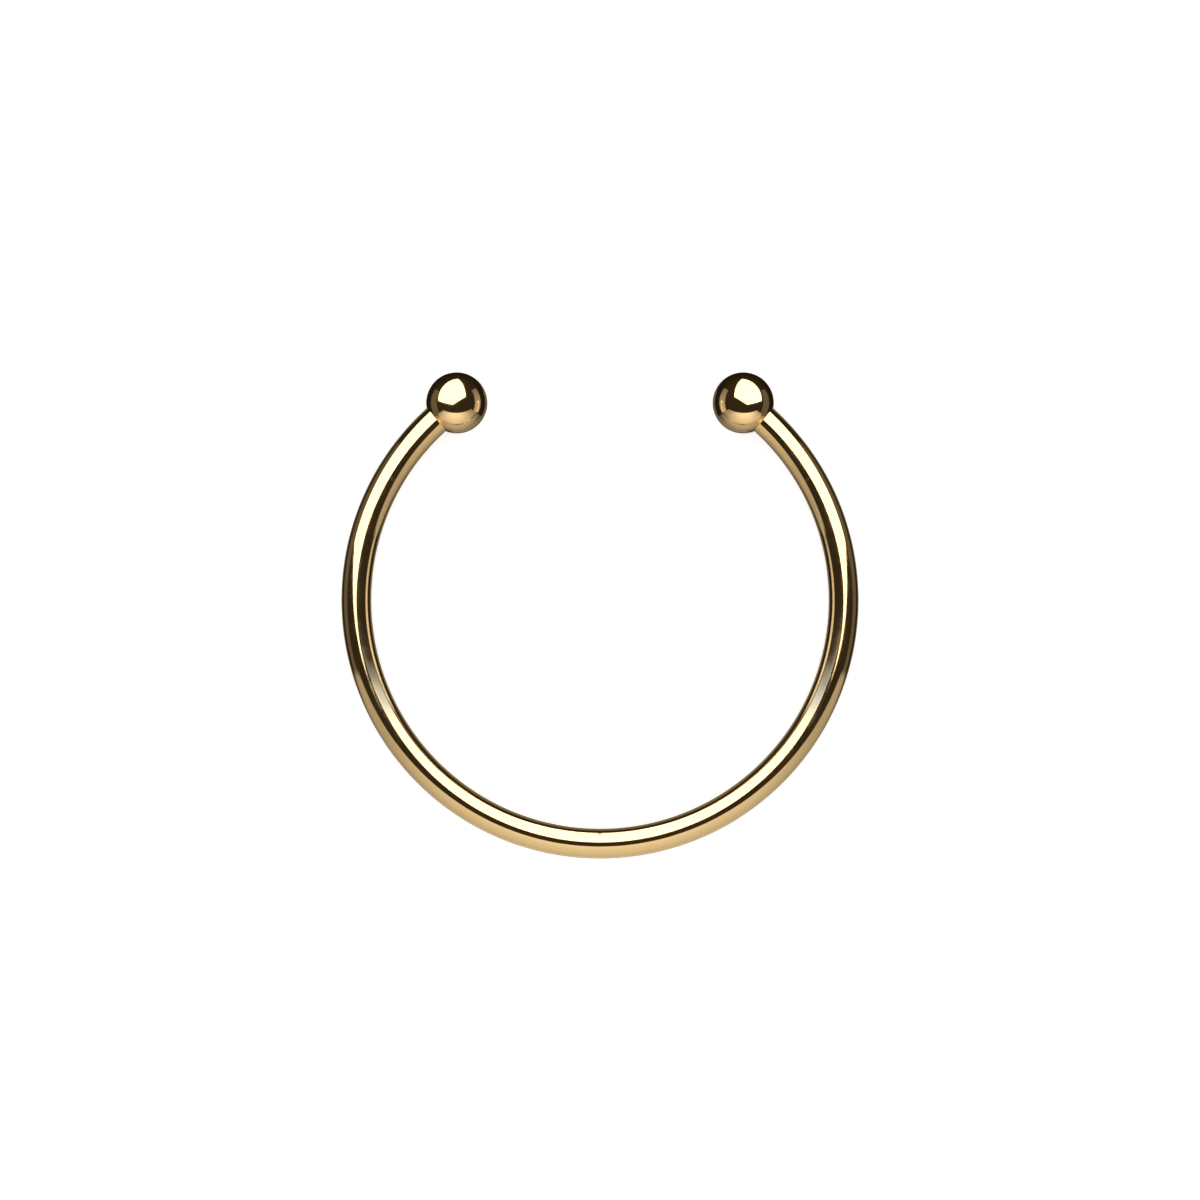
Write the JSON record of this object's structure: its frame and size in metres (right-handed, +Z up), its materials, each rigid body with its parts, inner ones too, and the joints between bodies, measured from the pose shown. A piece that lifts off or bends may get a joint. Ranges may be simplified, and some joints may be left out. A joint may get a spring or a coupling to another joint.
{
  "type": "ball-end cuff bracelet",
  "caption": "Open cuff bracelet: a round polished wire bent into an open circle, with a plain ball on each end of the opening that the wrist goes in by.",
  "frame": {"origin": "middle of the underside of the bracelet's bounding box, on the surface that it lies on", "axes": "+Z up, away from the surface that it lies on; +Y towards the opening between the balls; +X from the left ball to the right ball, seen from above"},
  "size_m": [0.0626, 0.0588, 0.0074],
  "materials": {
    "polished_gold_plate": "mirror polished yellow gold plate over brass"
  },
  "bodies": {
    "root": {"hoop": "polished_gold_plate", "ball_end_left": "polished_gold_plate", "ball_end_right": "polished_gold_plate"}
  },
  "joints": []
}
